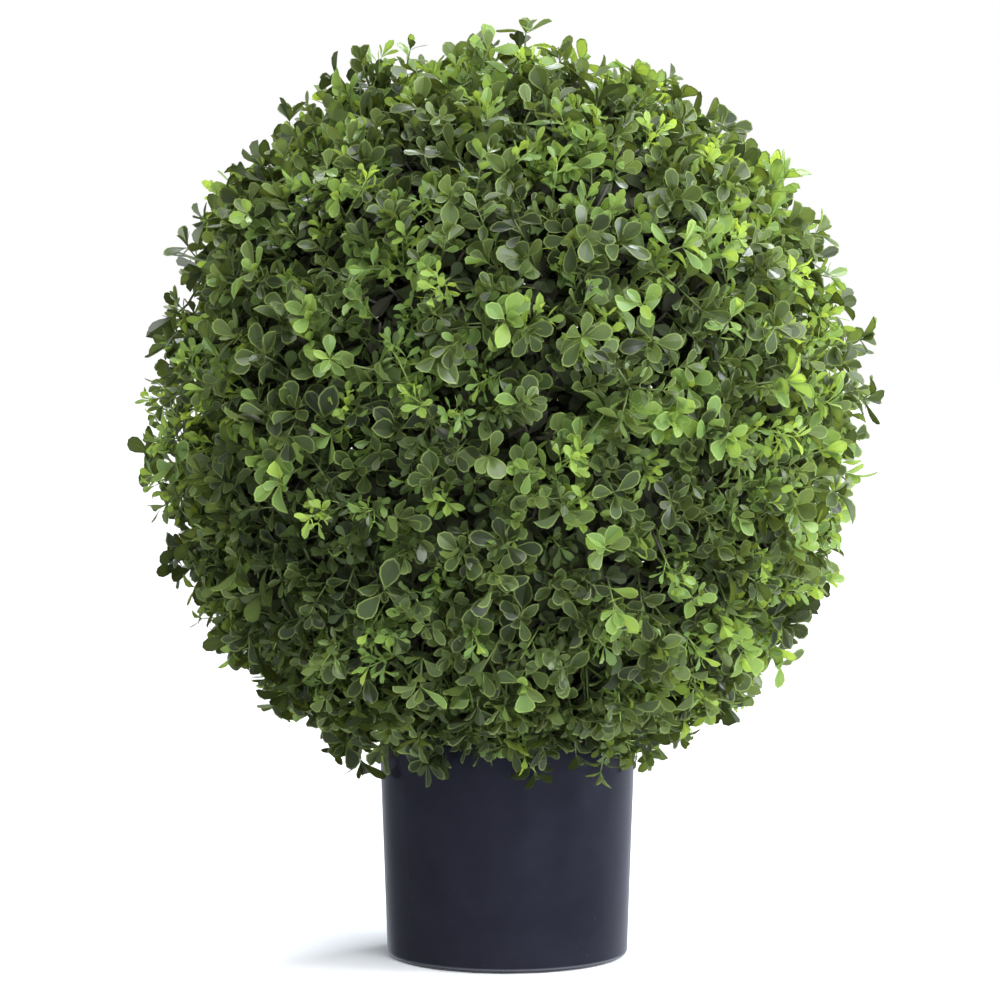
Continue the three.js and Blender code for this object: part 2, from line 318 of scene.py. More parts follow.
class FoliageSettings(bpy.types.PropertyGroup):
    fine_twigs: IntProperty(
        name="Fine twigs", description="How many fine twigs stand evenly over the ball", default=1900
    )
    broad_leaf: FloatVectorProperty(
        name="Broad leaf", description="Shortest and longest broad leaf", size=2, default=(17 * MM, 22.5 * MM),
        unit="LENGTH",
    )
    middling_leaf: FloatVectorProperty(
        name="Middling leaf", description="Shortest and longest middling leaf", size=2,
        default=(13 * MM, 17 * MM), unit="LENGTH",
    )
    small_leaf: FloatVectorProperty(
        name="Small leaf", description="Shortest and longest leaf of the new growth", size=2,
        default=(9.5 * MM, 13.5 * MM), unit="LENGTH",
    )
    shade: StringProperty(name="Shade", description="Colour of the inner leaves", default="#3a3b30")
    dark: StringProperty(name="Dark", description="Colour of the darkest outer leaves", default="#28321c")
    deep: StringProperty(name="Deep", description="Colour of the dark outer leaves", default="#384624")
    middle: StringProperty(name="Middle", description="Colour of most outer leaves", default="#4f5f35")
    fresh: StringProperty(name="Fresh", description="Colour of the lighter leaves", default="#6d894a")
    lime: StringProperty(name="Lime", description="Colour of the new growth", default="#8ba652")


class StudioSettings(bpy.types.PropertyGroup):
    camera_distance: FloatProperty(
        name="Camera distance", description="From the camera to the object's axis", default=2.4, unit="LENGTH"
    )
    camera_height: FloatProperty(name="Camera height", description="Above the floor", default=0.43, unit="LENGTH")
    frame_width: FloatProperty(
        name="Frame width", description="Width that the picture shows at the object's axis", default=0.655,
        unit="LENGTH",
    )
    ambient: FloatProperty(name="Ambient", description="Strength of the light from the room in front", default=0.27)
    backdrop: FloatProperty(
        name="Backdrop", description="Strength of the light from the white backdrop behind", default=0.85
    )
    overhead: FloatProperty(name="Overhead", description="Strength of the light from above", default=3.4)
    front: FloatProperty(
        name="Front", description="Power of the soft light in front, in watts", default=19, unit="POWER"
    )
    behind: FloatProperty(
        name="Behind", description="Power of the left light from behind, in watts", default=280, unit="POWER"
    )
    floor_colour: StringProperty(
        name="Floor colour", description="The floor's pale colour, as an sRGB hex value", default="#fafafa"
    )


# Colours and materials


def linear(hex_value):
    """An sRGB hex value as the linear red, green, blue and alpha that a shader takes."""
    channels = [int(hex_value[i : i + 2], 16) / 255 for i in (1, 3, 5)]
    return (*[c / 12.92 if c <= 0.04045 else ((c + 0.055) / 1.055) ** 2.4 for c in channels], 1.0)


def mixed_hex(hex_value, share, towards="#ffffff"):
    """A hex value moved a share of the way towards another."""
    pairs = [(int(hex_value[i : i + 2], 16), int(towards[i : i + 2], 16)) for i in (1, 3, 5)]
    return "#" + "".join(f"{round(low + (high - low) * share):02x}" for low, high in pairs)


def add_node(holder, kind, inputs=(), settings=None, output=0):
    """Adds a node to a material or a world, with its settings and links, and gives back one of its outputs.

    Inputs go by name, or in their own order. One that is a socket is linked, and any other is set.
    """
    tree = holder.node_tree
    node = tree.nodes.new(kind)
    for name, value in (settings or {}).items():
        setattr(node, name, value)
    for name, value in inputs.items() if isinstance(inputs, dict) else enumerate(inputs):
        if isinstance(value, bpy.types.NodeSocket):
            tree.links.new(value, node.inputs[name])
        else:
            node.inputs[name].default_value = value
    return node.outputs[output] if node.outputs else None


def new_material(name):
    material = bpy.data.materials.new(name)
    material.use_nodes = True
    material.node_tree.nodes.clear()
    return material


def moulded_polypropylene(settings):
    """Injection-moulded polypropylene: dark and satin, a soft blurred sheen, faint clouding, small scuffs, and a
    painted highlight along its bottom edge.
    """
    material = new_material("moulded_polypropylene")
    place = add_node(material, "ShaderNodeTexCoord", output="Object")
    # clouds 26 mm across, between a slightly darker and a slightly paler body
    inputs = {"Vector": place, "Scale": 1 / (26 * MM), "Detail": 4, "Roughness": 0.6}
    clouds = add_node(material, "ShaderNodeTexNoise", inputs)
    share = add_node(material, "ShaderNodeMapRange", (clouds, 0.3, 0.7, 0, 1))
    darker, paler = linear(mixed_hex(settings.colour, 0.08, "#000000")), linear(mixed_hex(settings.colour, 0.012))
    clouded = add_node(material, "ShaderNodeMix", {0: share, 6: darker, 7: paler}, {"data_type": "RGBA"}, 2)
    # short handling scuffs, 1 to 3 mm, that only the lower part of the pot shows
    upright = add_node(material, "ShaderNodeMapping", {"Vector": place, "Scale": (1, 1, 2.4)})
    inputs = {"Vector": upright, "Scale": 1 / (2.4 * MM), "Detail": 2, "Roughness": 0.6}
    specks = add_node(material, "ShaderNodeTexNoise", inputs)
    height = add_node(material, "ShaderNodeSeparateXYZ", (place,), output="Z")
    low_down = add_node(material, "ShaderNodeMapRange", (height, 0.11, 0.01, 0, 1))
    scuffs = add_node(material, "ShaderNodeMapRange", (specks, 0.72, 0.76, 0, 0.4))
    scuffed = add_node(material, "ShaderNodeMath", (scuffs, low_down), {"operation": "MULTIPLY"})
    # painted highlight: the bottom edge made paler in a line about 1 mm wide, where light would shine on its
    # rounding, and a faint painted lightening over the lowest 30 mm, for light from the floor
    above = add_node(material, "ShaderNodeMapRange", (height, 0.0008, 0.0014, 0, 0.65))
    below = add_node(material, "ShaderNodeMapRange", (height, 0.0022, 0.003, 1, 0))
    painted_edge_highlight = add_node(material, "ShaderNodeMath", (above, below), {"operation": "MULTIPLY"})
    painted_low_light = add_node(material, "ShaderNodeMapRange", (height, 0.003, 0.03, 0.02, 0))
    painted_highlights = add_node(material, "ShaderNodeMath", (painted_edge_highlight, painted_low_light), {"operation": "MAXIMUM"})
    scuffs_and_painted_highlights = add_node(material, "ShaderNodeMath", (scuffed, painted_highlights), {"operation": "MAXIMUM"})
    # the scuffs and the painted highlights both move the colour towards a paler body
    blend = {0: scuffs_and_painted_highlights, 6: clouded, 7: linear(mixed_hex(settings.colour, 0.32))}
    colour = add_node(material, "ShaderNodeMix", blend, {"data_type": "RGBA"}, 2)
    satin = settings.roughness
    gloss = add_node(material, "ShaderNodeMapRange", (clouds, 0.3, 0.7, satin - 0.03, satin + 0.03))
    # the fine grain of the mould, about 1 mm, drawn coarser than life so that it shows
    inputs = {"Vector": place, "Scale": 1 / (1.1 * MM), "Detail": 1, "Roughness": 0.5}
    grain = add_node(material, "ShaderNodeTexNoise", inputs)
    normal = add_node(material, "ShaderNodeBump", {"Height": grain, "Strength": 0.005, "Distance": 0.0004})
    inputs = {"Base Color": colour, "Roughness": gloss, "Normal": normal, "IOR": 1.49}
    inputs |= {"Specular IOR Level": 0.28, "Specular Tint": linear("#dfe4ff")}
    plastic = add_node(material, "ShaderNodeBsdfPrincipled", inputs)
    add_node(material, "ShaderNodeOutputMaterial", {"Surface": plastic})
    return material


def cast_mortar():
    """Cast mortar: pale grey, matt and sandy, with fine pits."""
    material = new_material("cast_mortar")
    place = add_node(material, "ShaderNodeTexCoord", output="Object")
    # sand of 1.4 mm, on patches 25 mm across
    sandy = {"Vector": place, "Scale": 1 / (1.4 * MM), "Detail": 4, "Roughness": 0.7}
    sand = add_node(material, "ShaderNodeTexNoise", sandy)
    patchy = {"Vector": place, "Scale": 1 / (25 * MM), "Detail": 2, "Roughness": 0.5}
    patches = add_node(material, "ShaderNodeTexNoise", patchy)
    both = add_node(material, "ShaderNodeMath", (sand, 0.5, patches), {"operation": "MULTIPLY_ADD"})
    share = add_node(material, "ShaderNodeMapRange", (both, 0.5, 0.95, 0, 1))
    blend = {0: share, 6: linear("#57534c"), 7: linear("#8d897f")}
    colour = add_node(material, "ShaderNodeMix", blend, {"data_type": "RGBA"}, 2)
    normal = add_node(material, "ShaderNodeBump", {"Height": sand, "Strength": 0.5, "Distance": 0.001})
    mortar = add_node(
        material, "ShaderNodeBsdfPrincipled", {"Base Color": colour, "Roughness": 0.95, "Normal": normal}
    )
    add_node(material, "ShaderNodeOutputMaterial", {"Surface": mortar})
    return material


def natural_bark():
    """A natural stem with its bark on: grey-brown, matt, furrowed along its length."""
    material = new_material("natural_bark")
    place = add_node(material, "ShaderNodeTexCoord", output="Object")
    # furrows about 1.6 mm wide and 12 mm long
    lengthways = add_node(material, "ShaderNodeMapping", {"Vector": place, "Scale": (1, 1, 0.13)})
    inputs = {"Vector": lengthways, "Scale": 1 / (1.6 * MM), "Detail": 3, "Roughness": 0.6}
    furrows = add_node(material, "ShaderNodeTexNoise", inputs)
    share = add_node(material, "ShaderNodeMapRange", (furrows, 0.35, 0.65, 0, 1))
    blend = {0: share, 6: linear("#2e241a"), 7: linear("#6d5a44")}
    colour = add_node(material, "ShaderNodeMix", blend, {"data_type": "RGBA"}, 2)
    normal = add_node(material, "ShaderNodeBump", {"Height": furrows, "Strength": 0.8, "Distance": 0.001})
    bark = add_node(material, "ShaderNodeBsdfPrincipled", {"Base Color": colour, "Roughness": 0.9, "Normal": normal})
    add_node(material, "ShaderNodeOutputMaterial", {"Surface": bark})
    return material


def moulded_leaf(name, colour, through, share_through, sheen, roughness=0.34):
    """Thin moulded polyethylene leaf: one plain green, satin, with a yellower light coming through it."""
    material = new_material(name)
    inputs = {"Base Color": linear(colour), "Roughness": roughness, "IOR": 1.5, "Specular IOR Level": sheen}
    front = add_node(material, "ShaderNodeBsdfPrincipled", inputs)
    back = add_node(material, "ShaderNodeBsdfTranslucent", {"Color": linear(through)})
    plastic = add_node(material, "ShaderNodeMixShader", (share_through, front, back))
    add_node(material, "ShaderNodeOutputMaterial", {"Surface": plastic})
    return material


def moulded_stalk(name, colour):
    """Moulded polyethylene stalk: plain green, satin."""
    material = new_material(name)
    plastic = add_node(
        material, "ShaderNodeBsdfPrincipled", {"Base Color": linear(colour), "Roughness": 0.5, "IOR": 1.5}
    )
    add_node(material, "ShaderNodeOutputMaterial", {"Surface": plastic})
    return material


def matt_paper(colour):
    """Matt paper for the floor: pale and even, with almost no sheen."""
    material = new_material("matt_paper")
    inputs = {"Base Color": linear(colour), "Roughness": 0.95, "Specular IOR Level": 0.1}
    paper = add_node(material, "ShaderNodeBsdfPrincipled", inputs)
    add_node(material, "ShaderNodeOutputMaterial", {"Surface": paper})
    return material


def white_surroundings(settings):
    """The room round the object, which looks white and lights the object more softly than it looks."""
    world = bpy.data.worlds.new("white_surroundings")
    world.use_nodes = True
    world.node_tree.nodes.clear()
    way = add_node(world, "ShaderNodeTexCoord", output="Generated")
    # how far a way points to the back and a little to the right
    to_back = (way, (0.42, 0.91, 0))
    turned = add_node(world, "ShaderNodeVectorMath", to_back, {"operation": "DOT_PRODUCT"}, "Value")
    strength = add_node(world, "ShaderNodeMapRange", (turned, 0.35, 0.95, settings.ambient, settings.backdrop))
    lit = add_node(world, "ShaderNodeBackground", {"Color": COOL_ROOM, "Strength": strength})
    seen = add_node(world, "ShaderNodeBackground", {"Color": WHITE})
    in_view = add_node(world, "ShaderNodeLightPath", output="Is Camera Ray")
    both = add_node(world, "ShaderNodeMixShader", (in_view, lit, seen))
    add_node(world, "ShaderNodeOutputWorld", {"Surface": both})
    return world


# The foliage rule, as in the part's source


def seeded_draws(seed):
    """A seeded draw between 0 and 1, the same on every machine."""
    factor, modulus = 48271, 2147483647
    state = seed
    for _ in range(8):
        state = state * factor % modulus

    def draw():
        nonlocal state
        state = state * factor % modulus
        return state / modulus

    return draw


def between(pair, share):
    return pair[0] + (pair[1] - pair[0]) * share


def crown_point(direction, share):
    """The point that lies the given share of the way from the crown's centre to its outline."""
    across = CROWN_RADIUS * share
    height = CROWN_CENTRE_Z + direction.z * CROWN_HALF_HEIGHT * share
    return Vector((direction.x * across, direction.y * across, height))


def share_of_outline(point):
    across = math.hypot(point.x, point.y) / CROWN_RADIUS
    return math.hypot(across, (point.z - CROWN_CENTRE_Z) / CROWN_HALF_HEIGHT)


def core_share(height):
    step = min(max((-height - 0.6) / 0.35, 0), 1)
    return CORE_SHARE + (CORE_SHARE_BELOW - CORE_SHARE) * step * step * (3 - 2 * step)


def in_the_pot(point, kept=KEPT_FROM_POT):
    return point.z < POT_HEIGHT + kept and math.hypot(point.x, point.y) < POT_RIM_RADIUS + kept


def sideways(direction, turn):
    """A direction square to the given one, turned about it by an angle."""
    helper = Vector((0, 0, 1)) if abs(direction.z) < 0.9 else Vector((1, 0, 0))
    side = helper.cross(direction).normalized()
    return side * math.cos(turn) + direction.cross(side) * math.sin(turn)


def leaned(direction, side, angle):
    return direction * math.cos(angle) + side * math.sin(angle)


def side_facing(along, roll, i):
    return sideways(along, roll + (i + 0.5) * FULL_TURN / 3)


def twig_sites(count, seed=SITE_SEED):
    """Where each twig stands: a golden-angle lattice, with a seeded lean, length and roll for each."""
    draw = seeded_draws(seed)
    sites = []
    for i in range(count):
        height = 1 - (2 * i + 1) / count
        ring = math.sqrt(1 - height * height)
        turn = i * GOLDEN_ANGLE
        outward = Vector((ring * math.cos(turn), ring * math.sin(turn), height))
        lean = draw() * TWIG_LEAN
        lean_turn = draw() * FULL_TURN
        reach = draw()
        roll = draw() * FULL_TURN
        loose = draw() < LOOSE_TWIGS
        along = leaned(outward, sideways(outward, lean_turn), lean)
        sites.append({"outward": outward, "along": along, "reach": reach, "roll": roll, "loose": loose})
    return sites


def large_leaf_fits(root, along, up, length, limit):
    across = along.cross(up).normalized()
    upper = across.cross(along)
    wide = across * (length * LEAF_WIDTH / 2)
    middle = root + along * (length * LEAF_WIDEST)
    for point in (middle + wide, root + along * length - upper * (length * LEAF_DROOP), middle - wide):
        share = share_of_outline(point)
        packed = core_share((point.z - CROWN_CENTRE_Z) / CROWN_HALF_HEIGHT / share)
        if share > limit or point.z > OVERALL_HEIGHT or in_the_pot(point) or share < packed + CORE_ROUGHNESS:
            return False
    return True


def large_leaf(root, along, side, wanted_spread, length, limit):
    """Where a leaf of the solid lies, turned up or down until it fits, or None."""
    for step in range(SPREAD_TRIES + 1):
        for spread in (wanted_spread + step * SPREAD_STEP, wanted_spread - step * SPREAD_STEP):
            direction = leaned(along, side, spread)
            if large_leaf_fits(root, direction, leaned(along, side, spread - math.pi / 2), length, limit):
                return root, direction, length, limit
    return None


def large_whorl(tip, along, count, roll, draw, limit):
    root = tip - along * LEAF_ROOT_DEPTH
    leaves = []
    for i in range(count):
        spread = between(LEAF_SPREAD, draw())
        length = between(LEAF_LENGTH, draw())
        leaves.append(large_leaf(root, along, side_facing(along, roll, i), spread, length, limit))
    return [leaf for leaf in leaves if leaf]


def large_sprays():
    """The twigs of the solid and the places of its leaves, each of which stands for a sprig."""
    draw = seeded_draws(SHAPE_SEED)
    twigs, leaves = [], []
    for site in twig_sites(TWIG_COUNT):
        limit = LOOSE_SPRIG_REACH if site["loose"] else SPRIG_REACH
        tip_share = between(TWIG_TIP_SHARE, site["reach"]) + (LOOSE_TWIG_EXTRA if site["loose"] else 0)
        middle = crown_point(site["outward"], (TWIG_ROOT_SHARE + tip_share) / 2)
        half = (tip_share - TWIG_ROOT_SHARE) * CROWN_RADIUS / 2
        root, tip = middle - site["along"] * half, middle + site["along"] * half
        fork = root.lerp(tip, SIDE_TWIG_FROM)
        side_along = leaned(site["along"], side_facing(site["along"], site["roll"], 0), SIDE_TWIG_ANGLE)
        side_tip = fork + side_along * SIDE_TWIG_LENGTH
        if any(in_the_pot(p) or share_of_outline(p) > limit for p in (tip, side_tip)):
            continue
        twigs.append((root, tip, fork, side_tip, site))
        leaves += large_whorl(tip, site["along"], TIP_LEAVES, site["roll"], draw, limit)
        leaves += large_whorl(side_tip, side_along, SIDE_LEAVES, site["roll"], draw, limit)
    hanging = []
    for i in range(HANGING_TWIGS):
        turn = (i + 0.4 * draw()) * FULL_TURN / HANGING_TWIGS
        root, tip = [
            Vector((radius * math.cos(turn), radius * math.sin(turn), z)) for radius, z in (HANGING_ROOT, HANGING_TIP)
        ]
        along = (tip - root).normalized()
        roll = draw() * FULL_TURN
        hanging.append((root, tip))
        leaves += large_whorl(tip, along, TIP_LEAVES, roll, draw, LOOSE_SPRIG_REACH)
    return twigs, hanging, leaves


# The finer growth


class Growth:
    """Collects the leaves and stalks of the ball, in millimetres."""

    def __init__(self, settings):
        self.draw = seeded_draws(GROWTH_SEED)
        self.leaves = {"inner": [], "under": [], "broad": [], "middling": [], "small": []}
        self.stalks = {"bough": [], "stalk": [], "new_stalk": []}
        self.lengths = {
            "broad": tuple(v / MM for v in settings.broad_leaf),
            "middling": tuple(v / MM for v in settings.middling_leaf),
            "small": tuple(v / MM for v in settings.small_leaf),
            "under": UNDER_LENGTH,
            "inner": INNER_LENGTH,
        }

    def either_way(self, part):
        return part * (2 * self.draw() - 1)

    def stalk(self, kind, root, tip, radii, middle=None):
        middle = root.lerp(tip, 0.5) if middle is None else middle
        self.stalks[kind].append(((root, middle, tip), radii))

    def leaf(self, kind, tint, root, along, side, spread, limit, grown=1):
        """One leaf, turned flatter until it keeps inside the outline, or left out."""
        draw = self.draw
        length = between(self.lengths[kind], draw()) * grown * (1 - LEAF_SHORTER * draw() ** 2)
        for _ in range(LEAF_TRIES):
            direction = leaned(along, side, spread)
            if fits_outline(root + direction * length, limit):
                break
            spread += LEAF_FLATTER_STEP
        else:
            return
        up = leaned(along, side, spread - math.pi / 2)
        # a slight roll of the blade about its own midrib
        up = leaned(up, direction.cross(up), self.either_way(BLADE_ROLL))
        if draw() < STRAY_TINTS:
            tint = min(max(tint + (1 if draw() < 0.5 else -1), DARK), LIME)
        width = length * between(SMALL_BLADE_WIDTH if kind == "small" else BLADE_WIDTH, draw())
        cup = between(CUP, draw())
        droop = between(DROOP, draw() ** DROOP_BIAS)
        self.leaves[kind].append((*root, *direction, *up, length, width, cup, droop, tint))

    def whorl(self, kind, tint, tip, along, count, spread, limit, roll=None, grown=1):
        roll = self.draw() * FULL_TURN if roll is None else roll
        for i in range(count):
            turn = roll + (i + self.either_way(WHORL_UNEVEN)) * FULL_TURN / count
            leaf_spread = spread + self.either_way(SPREAD_UNEVEN)
            self.leaf(kind, tint, tip, along, sideways(along, turn), leaf_spread, limit, grown)

    def leafy_stalk(self, kind, root, along, length, tint, limit):
        """A stalk with its whorls, drawn back until the leaves at its end have room inside the outline."""
        piece, radii, whorls = SPRIGS[kind]
        while length > SHORTEST_STALK and not fits_outline(root + along * (length + TIP_ROOM), limit):
            length -= STALK_STEP
        tip = root + along * length
        self.stalk(piece, root, tip, radii)
        drawn_count = BROAD_TIP_LEAVES[0] + int(BROAD_TIP_LEAVES[1] * self.draw()) if kind == "broad" else 0
        roll = self.draw() * FULL_TURN
        for leaf, place, count, spread, turn, grown in whorls:
            at, leaves = root.lerp(tip, place), count or drawn_count
            self.whorl(leaf, tint, at, along, leaves, spread, limit, roll + turn, grown)
        if kind == "fan":
            self.side_stalks(root, tip, along, roll, tint, limit)

    def side_stalks(self, root, tip, along, roll, tint, limit):
        """The side stalks of new growth, each with small leaves that point forwards."""
        for i in range(SIDE_STALKS[0] + int(SIDE_STALKS[1] * self.draw())):
            fork = root.lerp(tip, SIDE_FORK[0] + SIDE_FORK[1] * i)
            stray = leaned(along, sideways(along, roll + i * GOLDEN_ANGLE), SIDE_STALK_LEAN)
            end = fork + stray * between(SIDE_STALK_LENGTH, self.draw())
            if fits_outline(end, limit - SIDE_STALK_ROOM):
                self.stalk("new_stalk", fork, end, SIDE_STALK)
                for place, count, spread, grown in SIDE_WHORLS:
                    self.whorl("small", tint, fork.lerp(end, place), stray, count, spread, limit, None, grown)

    def sprig(self, root, along, length, limit, younger_and_backlit=0):
        """A sprig of one of the three kinds, whose tint takes painted light and shade for its place, and is paler for
        a loose sprig, partly as younger growth and partly as painted light from behind.
        """
        height = (root.z - CROWN_CENTRE_Z) / CROWN_HALF_HEIGHT
        share = self.draw() * (LOW_SHARE if height < LOW_HEIGHT else 1)
        # painted light and shade: a sprig's tint is drawn paler on the right and at the top, and darker towards the
        # foot
        place = PAINTED_LIGHT_RIGHT * root.x / CROWN_RADIUS + (PAINTED_LIGHT_UP if height > 0 else PAINTED_SHADE_DOWN) * height
        shade = self.draw() + place + younger_and_backlit
        kind = next(kind for kind, below in SPRIG_SHARES if share < below)
        tint = next(tint for tint, below in TINT_SHARES[kind] if shade < below)
        self.leafy_stalk(kind, root, along, length, tint, limit)

    def shaded_leaves(self, dealt, root, end):
        """Leaves dealt along a bough, none of which reaches past its share of the outline."""
        for kind, begin, count, furthest in dealt:
            start = root.lerp(end, begin)
            along = (end - start).normalized()
            for _ in range(count):
                place = start.lerp(end, self.draw())
                side = sideways(along, self.draw() * FULL_TURN)
                spread = SHADED_SPREAD + SHADED_SPREAD_RANGE * self.draw()
                direction = leaned(along, side, spread)
                length = between(self.lengths[kind], self.draw())
                tip = place + direction * length
                if any(in_the_pot(p, SHADED_FROM_POT) for p in (tip, place)) or share_of_outline(tip) > furthest:
                    continue
                up = leaned(along, side, spread - math.pi / 2)
                bend = (length, length * SHADED_WIDTH, SHADED_CUP, SHADED_DROOP)
                self.leaves[kind].append((*place, *direction, *up, *bend, SHADE if kind == "inner" else DEEP))


def shoulder(height):
    """How much further the sprigs reach between the ball's middle and its top, or its foot."""
    extra = SHOULDER_EXTRA[0] if height > 0 else SHOULDER_EXTRA[1]
    return extra * 4 * height * height * (1 - height * height) if abs(height) < 1 else 0


def fits_outline(point, limit):
    """Whether a leaf's tip keeps inside the outline of the ball, with its flat foot, and out of the pot."""
    if in_the_pot(point, LEAF_FROM_POT) or point.z > OVERALL_HEIGHT:
        return False
    foot = FOOT_RADIUS + max(point.z - FOOT_Z, 0) * FOOT_FLARE + (limit - SPRIG_REACH) * FOOT_LOOSE
    if point.z < FOOT_TOP and math.hypot(point.x, point.y) > foot:
        return False
    height = (point.z - CROWN_CENTRE_Z) / CROWN_HALF_HEIGHT
    return share_of_outline(point) <= limit + shoulder(height)


def grow_on_the_solid(growth, twigs, leaves, head):
    """Boughs from the stem's head to the twigs of the solid, and a sprig for each of its leaves."""
    bough_ends = []
    for root, tip, fork, side_tip, site in twigs:
        knee = head.lerp(root, 0.5) + Vector((0, 0, KNEE_RISE * (growth.draw() - KNEE_LOW_SHARE)))
        growth.stalk("bough", head, root, MAIN_BOUGH, knee)
        growth.stalk("stalk", root, tip, MAIN_TWIG)
        growth.stalk("stalk", fork, side_tip, SIDE_TWIG)
        bough_ends.append((site["outward"], head.lerp(root, FORKS_FROM), root))
    for root, along, length, limit in leaves:
        growth.sprig(root, along, length * SOLID_LEAF_SPRIG, limit)
    return bough_ends


def grow_fine_twigs(growth, bough_ends, count):
    """The finer twigs, forked from the nearest bough, each with its shaded leaves and its sprig."""
    draw = growth.draw
    outwards = np.array([list(outward) for outward, _, _ in bough_ends])
    for site in twig_sites(count, SITE_SEED + 1):
        outward, loose = site["outward"], site["loose"]
        _, fork_from, fork_to = bough_ends[int(np.argmax(outwards @ np.array(outward)))]
        start = fork_from.lerp(fork_to, draw())
        extra = FINE_LOOSE_EXTRA if loose else 0
        reach = FINE_REACH + FINE_REACH_RANGE * site["reach"] + extra + shoulder(outward.z)
        while reach > FINE_LEAST_REACH and in_the_pot(crown_point(outward, reach), FINE_TIP_FROM_POT):
            reach -= FINE_STEP_BACK
        knee = crown_point(outward, reach - between(FINE_KNEE_DEPTH, draw()))
        stray = leaned(outward, sideways(outward, draw() * FULL_TURN), between(FINE_LEAN, draw()))
        length = between(FINE_LENGTH, draw())
        if not fits_outline(knee + stray * length, 1):
            stray = outward
        if in_the_pot(knee, FINE_KNEE_FROM_POT) or in_the_pot(knee + stray * length):
            continue
        growth.stalk("bough", start, knee, FINE_BOUGH)
        growth.shaded_leaves(FINE_SHADED, start, knee)
        limit = (FINE_LOOSE_LIMIT if loose else SPRIG_REACH) + between(FINE_LIMIT, draw() ** FINE_LIMIT_BIAS)
        growth.sprig(knee, stray, length, limit, LOOSE_YOUNGER_AND_BACKLIT if loose else 0)


def grow_round_the_rim(growth, hanging, head):
    """The sprigs that hang round the pot's rim."""
    draw = growth.draw
    for root, tip in hanging:
        growth.stalk("bough", head, root, HANGING_BOUGH, head.lerp(root, BOUGH_MIDDLE))
        growth.stalk("stalk", root, tip, HANGING_TWIG)
    for outs, ends, count in RIM_SPRIGS:
        for i in range(count):
            turn = (i + 0.5 * draw()) * FULL_TURN / count
            out = between(outs, draw())
            spoke = Vector((math.cos(turn), math.sin(turn), 0))
            tip = spoke * out + Vector((0, 0, between(ends, draw())))
            root = spoke * (out - RIM_SPRIG_IN) + Vector((0, 0, ends[1] + RIM_SPRIG_RISE))
            growth.stalk("bough", head, root, RIM_BOUGH, head.lerp(root, BOUGH_MIDDLE))
            growth.shaded_leaves(RIM_SHADED, head, root)
            limit = between(RIM_SPRIG_LIMIT, draw())
            growth.sprig(root, (tip - root).normalized(), (tip - root).length, limit)


_grown = {}


def grown_foliage(context):
    """Every leaf and stalk from the stem's head outwards, worked out once for all the pieces made from them."""
    if "growth" not in _grown:
        settings = context.scene.topiary_foliage
        growth = _grown["growth"] = Growth(settings)
        twigs, hanging, leaves = large_sprays()
        head = Vector((0, 0, STEM_HIGH.z / MM - STEM_HEAD_DEPTH))
        bough_ends = grow_on_the_solid(growth, twigs, leaves, head)
        grow_fine_twigs(growth, bough_ends, settings.fine_twigs)
        grow_round_the_rim(growth, hanging, head)
    return _grown["growth"]


# Meshes from arrays


def mesh_from_arrays(name, points, faces):
    """One mesh object from an array of points in metres and an array of triangles."""
    mesh = bpy.data.meshes.new(name)
    count, corners = faces.shape
    mesh.vertices.add(len(points))
    mesh.vertices.foreach_set("co", points.astype(np.float32).ravel())
    mesh.loops.add(count * corners)
    mesh.loops.foreach_set("vertex_index", faces.astype(np.int32).ravel())
    mesh.polygons.add(count)
    mesh.polygons.foreach_set("loop_start", np.arange(0, count * corners, corners, dtype=np.int32))
    mesh.update(calc_edges=True)
    mesh.validate()
    piece = bpy.data.objects.new(name, mesh)
    bpy.context.scene.collection.objects.link(piece)
    return piece


def bridged(low, high):
    """Triangles between two rows of corners that run side by side from left to right."""
    triangles, i, j = [], 0, 0
    last_low, last_high = len(low) - 1, len(high) - 1
    while i < last_low or j < last_high:
        if j == last_high or (i < last_low and (i + 1) / last_low < (j + 1) / max(last_high, 1)):
            triangles.append((low[i], high[j], low[i + 1]))
            i += 1
        else:
            triangles.append((low[i], high[j], high[j + 1]))
            j += 1
    return triangles


# A margin's rise is in mm. Its start and where it is drawn back are shares of the leaf's length, its tip is a share
# of the margin, and the midrib's half width is a share of the leaf's width.
MARGIN_RISE = 0.3
MARGIN_START = 0.03
MARGIN_DRAWN_BACK = 0.035
MARGIN_BACK_FROM = 0.9
MARGIN_TIP = 0.75
MIDRIB_HALF_WIDTH = 0.028
MIDRIB_END = 0.84


